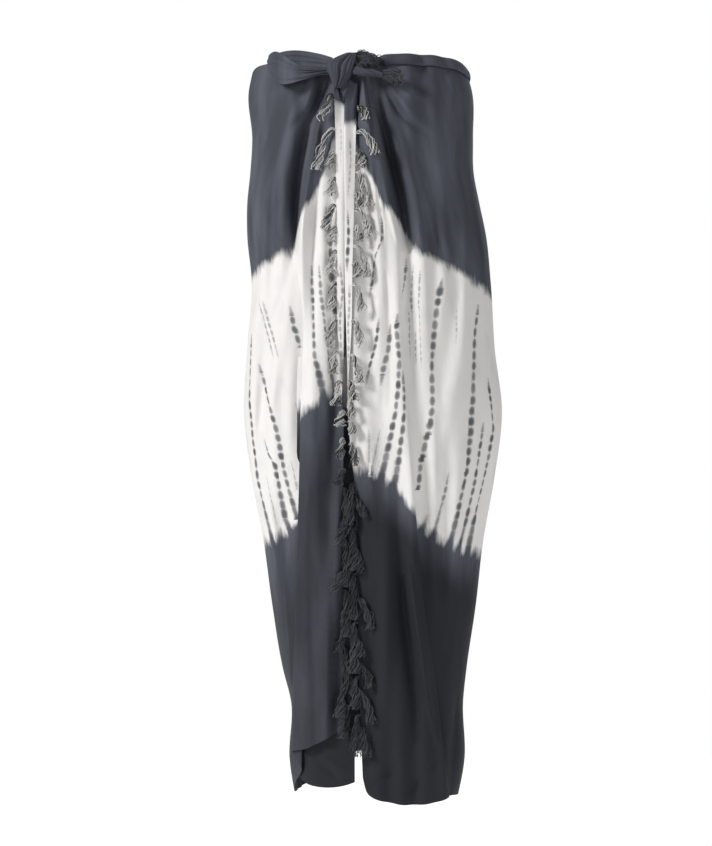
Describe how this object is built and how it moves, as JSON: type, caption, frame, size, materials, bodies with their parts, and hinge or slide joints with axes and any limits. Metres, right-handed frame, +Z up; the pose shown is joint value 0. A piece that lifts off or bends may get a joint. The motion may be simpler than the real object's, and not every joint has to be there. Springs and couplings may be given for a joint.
{
  "type": "sarong, worn strapless and knotted at the front",
  "caption": "Fringed sarong wound round the body under the arms and knotted at the bust, with its fringed ends hanging down the front, dark grey with a wide white tie-dyed band.",
  "frame": {"origin": "middle of the wearer's chest at armpit level, where the knotted top edge is held up", "axes": "+Z up along the wearer, -Y out of the knotted front, +X to the right as seen from the front"},
  "size_m": [0.3859, 0.2712, 1.1004],
  "materials": {
    "dyed_cloth": "fine plain-woven rayon with a soft drape and a slight sheen, dyed dark slate grey with one wide white band of stitched and tied resist beads",
    "fringe_thread": "loose twisted warp threads knotted into locks, dark grey, mixed grey and white beside the white band"
  },
  "bodies": {
    "root": {"left_front": "dyed_cloth", "right_front": "dyed_cloth", "back": "dyed_cloth", "left_under": "dyed_cloth", "loop": "dyed_cloth", "right_roll": "dyed_cloth", "knot_band": "dyed_cloth", "tail_roll": "dyed_cloth", "knot_tuck": "dyed_cloth", "left_fringe": "fringe_thread", "right_fringe": "fringe_thread", "tail_tuft": "fringe_thread", "tail_fan": "fringe_thread"}
  },
  "joints": []
}
